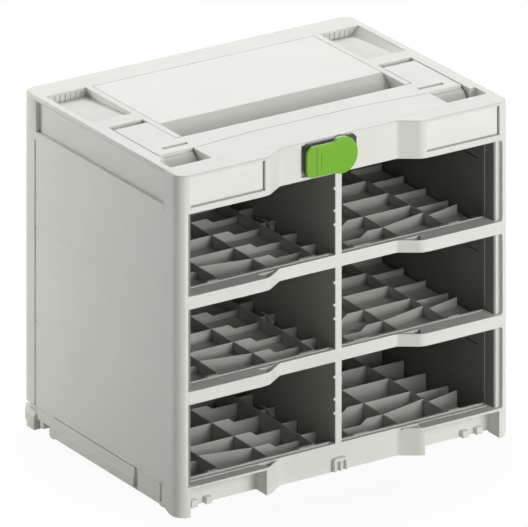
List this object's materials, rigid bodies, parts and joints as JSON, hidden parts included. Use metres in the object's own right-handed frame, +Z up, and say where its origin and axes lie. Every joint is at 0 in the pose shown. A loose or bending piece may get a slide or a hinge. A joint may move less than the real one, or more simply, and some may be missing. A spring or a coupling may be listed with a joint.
{
  "type": "drawer rack case",
  "caption": "Stackable light grey rack case with open bays in two columns, ribbed bay floors, a fold-down carry handle and a rotary front latch.",
  "frame": {"origin": "middle of the footprint on the plane the feet stand on", "axes": "+X to the right seen from the front, +Y from the front to the back, +Z up"},
  "size_m": [0.396, 0.296, 0.337],
  "materials": {
    "shell_grey": "fine-grained light grey moulded plastic",
    "plate_grey": "smooth light grey plastic",
    "badge_grey": "smooth light grey plastic",
    "handle_grey": "fine-grained light grey moulded plastic",
    "lining_dark": "dark grey moulded plastic",
    "floor_grey": "mid grey moulded plastic",
    "pin_steel": "plain steel",
    "latch_green": "satin green plastic",
    "mechanism_black": "black acetal"
  },
  "bodies": {
    "case": {"front_frame": "shell_grey", "outer_shell": "shell_grey", "top_cover": "shell_grey", "top_plate": "plate_grey", "base_tray": "shell_grey", "coupling_lug": "shell_grey", "rear_foot_left": "shell_grey", "rear_foot_right": "shell_grey", "side_rail_left": "shell_grey", "side_rail_right": "shell_grey", "badge_insert_left": "badge_grey", "badge_insert_right": "badge_grey", "side_liner_left": "lining_dark", "side_liner_right": "lining_dark", "rear_liner": "lining_dark", "ceiling_panel": "lining_dark", "centre_divider": "lining_dark", "bay_floor_left_bottom": "floor_grey", "bay_floor_left_middle": "floor_grey", "bay_floor_left_top": "floor_grey", "bay_floor_right_bottom": "floor_grey", "bay_floor_right_middle": "floor_grey", "bay_floor_right_top": "floor_grey", "handle_pivot_pins": "pin_steel"},
    "handle": {"handle_frame": "handle_grey"},
    "latch": {"latch_knob": "latch_green", "latch_spindle": "mechanism_black", "latch_retainer": "mechanism_black"}
  },
  "joints": [
    {"name": "handle_hinge", "type": "hinge", "parent": "case", "child": "handle", "pos_m": [0, -0.002, 0.33], "axis": [-1, 0, 0], "range_deg": [0, 90]},
    {"name": "latch_turn", "type": "hinge", "parent": "case", "child": "latch", "pos_m": [0, -0.1335, 0.3187], "axis": [0, 1, 0], "range_deg": [0, 90]}
  ]
}
